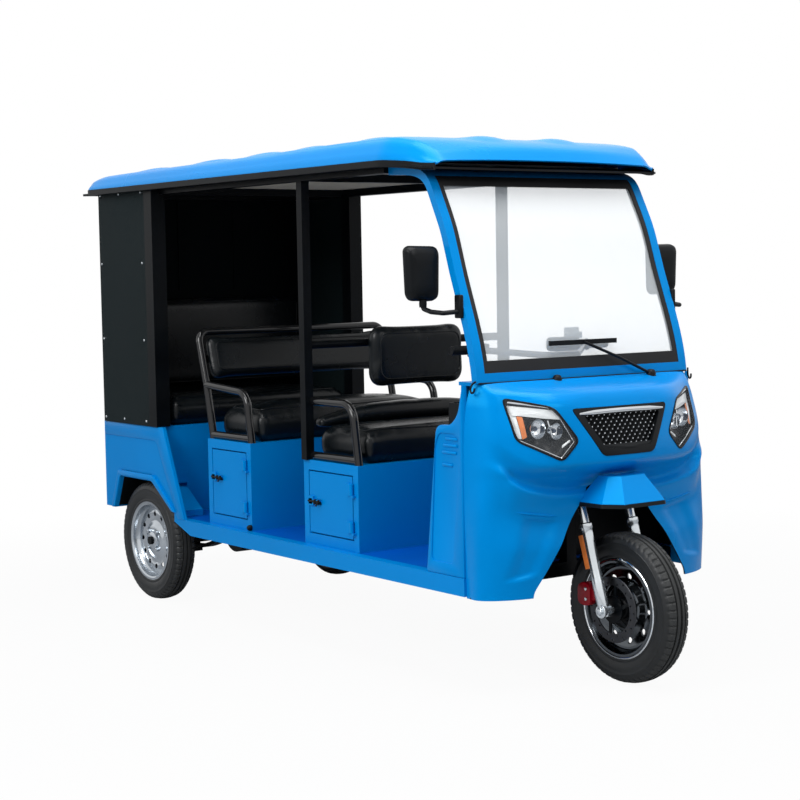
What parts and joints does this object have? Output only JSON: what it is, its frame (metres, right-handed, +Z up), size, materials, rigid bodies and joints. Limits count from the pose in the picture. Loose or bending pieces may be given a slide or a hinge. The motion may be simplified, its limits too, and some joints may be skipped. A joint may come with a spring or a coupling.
{
  "type": "electric auto rickshaw",
  "caption": "Three-wheeled passenger rickshaw with a driver bench, two passenger benches on storage boxes, a roof on posts, a windscreen and a steered front wheel.",
  "frame": {"origin": "bottom centre of the whole vehicle's box, on the ground", "axes": "+X forward, +Y to the left, +Z up"},
  "size_m": [3.02, 1.214, 1.8534],
  "materials": {
    "body_blue": "gloss",
    "roof_blue": "gloss",
    "deck_black": "satin",
    "frame_black": "satin",
    "panel_black": "matte",
    "tube_black": "gloss",
    "vinyl": "semi gloss",
    "battery_case": "matte",
    "lining_grey": "matte",
    "trim_black": "satin",
    "glass": "clear",
    "lamp_glass": "clear",
    "tail_red": "gloss",
    "motor_metal": "cast",
    "spring_steel": "satin",
    "fork_metal": "polished",
    "caliper_red": "gloss",
    "tyre": "matte",
    "rim_chrome": "polished",
    "rim_silver": "silver",
    "disc_steel": "brushed"
  },
  "bodies": {
    "body": {"floor_deck": "deck_black", "side_sills": "body_blue", "chassis_frame": "frame_black", "rear_body": "body_blue", "wheel_tubs": "body_blue", "rear_bench": "body_blue", "side_panels": "panel_black", "back_panel": "panel_black", "canopy_frame": "frame_black", "mid_bench": "body_blue", "front_bench": "body_blue", "rear_cushion": "vinyl", "mid_cushion": "vinyl", "front_cushion": "vinyl", "front_bolster": "vinyl", "rear_backrest": "vinyl", "mid_backrest": "vinyl", "driver_backrest": "vinyl", "battery_pack": "battery_case", "mid_seat_frame": "tube_black", "front_armrests": "tube_black", "roof_shell": "roof_blue", "roof_lining": "lining_grey", "roof_visor": "trim_black", "windscreen_arch": "body_blue", "windscreen_frame": "trim_black", "windscreen_glass": "glass", "nose_shell": "body_blue", "grille": "trim_black", "headlamps": "lamp_glass", "front_fender": "body_blue", "leg_shields": "body_blue", "inner_apron": "body_blue", "dashboard": "trim_black", "mirrors": "trim_black", "tail_lamps": "tail_red", "wiper": "trim_black", "brake_pedal": "frame_black", "rear_axle": "frame_black", "drive_motor": "motor_metal", "leaf_springs": "spring_steel"},
    "steering": {"fork": "fork_metal", "handlebar": "trim_black", "instrument_pod": "trim_black", "brake_caliper": "caliper_red"},
    "front_wheel": {"front_tyre": "tyre", "front_rim": "rim_chrome", "brake_disc": "disc_steel"},
    "rear_wheel_right": {"rear_tyre_right": "tyre", "rear_rim_right": "rim_silver"},
    "rear_wheel_left": {"rear_tyre_left": "tyre", "rear_rim_left": "rim_silver"},
    "mid_door_right": {"mid_door_right": "body_blue"},
    "mid_door_left": {"mid_door_left": "body_blue"},
    "front_door_right": {"front_door_right": "body_blue"},
    "front_door_left": {"front_door_left": "body_blue"}
  },
  "joints": [
    {"name": "steering_turn", "type": "hinge", "parent": "body", "child": "steering", "pos_m": [1.218, 0, 0.25], "axis": [-0.304, 0, 0.9527], "range_deg": [-35, 35]},
    {"name": "front_wheel_spin", "type": "hinge", "parent": "steering", "child": "front_wheel", "pos_m": [1.26, 0, 0.25], "axis": [0, 1, 0], "continuous": true},
    {"name": "rear_wheel_right_spin", "type": "hinge", "parent": "body", "child": "rear_wheel_right", "pos_m": [-1.136, -0.45, 0.25], "axis": [0, 1, 0], "continuous": true},
    {"name": "rear_wheel_left_spin", "type": "hinge", "parent": "body", "child": "rear_wheel_left", "pos_m": [-1.136, 0.45, 0.25], "axis": [0, 1, 0], "continuous": true},
    {"name": "front_door_right_hinge", "type": "hinge", "parent": "body", "child": "front_door_right", "pos_m": [0.357, -0.479, 0.53], "axis": [0, 0, 1], "range_deg": [0, 100]},
    {"name": "front_door_left_hinge", "type": "hinge", "parent": "body", "child": "front_door_left", "pos_m": [0.357, 0.479, 0.53], "axis": [0, 0, -1], "range_deg": [0, 100]},
    {"name": "mid_door_right_hinge", "type": "hinge", "parent": "body", "child": "mid_door_right", "pos_m": [-0.368, -0.479, 0.53], "axis": [0, 0, 1], "range_deg": [0, 100]},
    {"name": "mid_door_left_hinge", "type": "hinge", "parent": "body", "child": "mid_door_left", "pos_m": [-0.368, 0.479, 0.53], "axis": [0, 0, -1], "range_deg": [0, 100]}
  ]
}
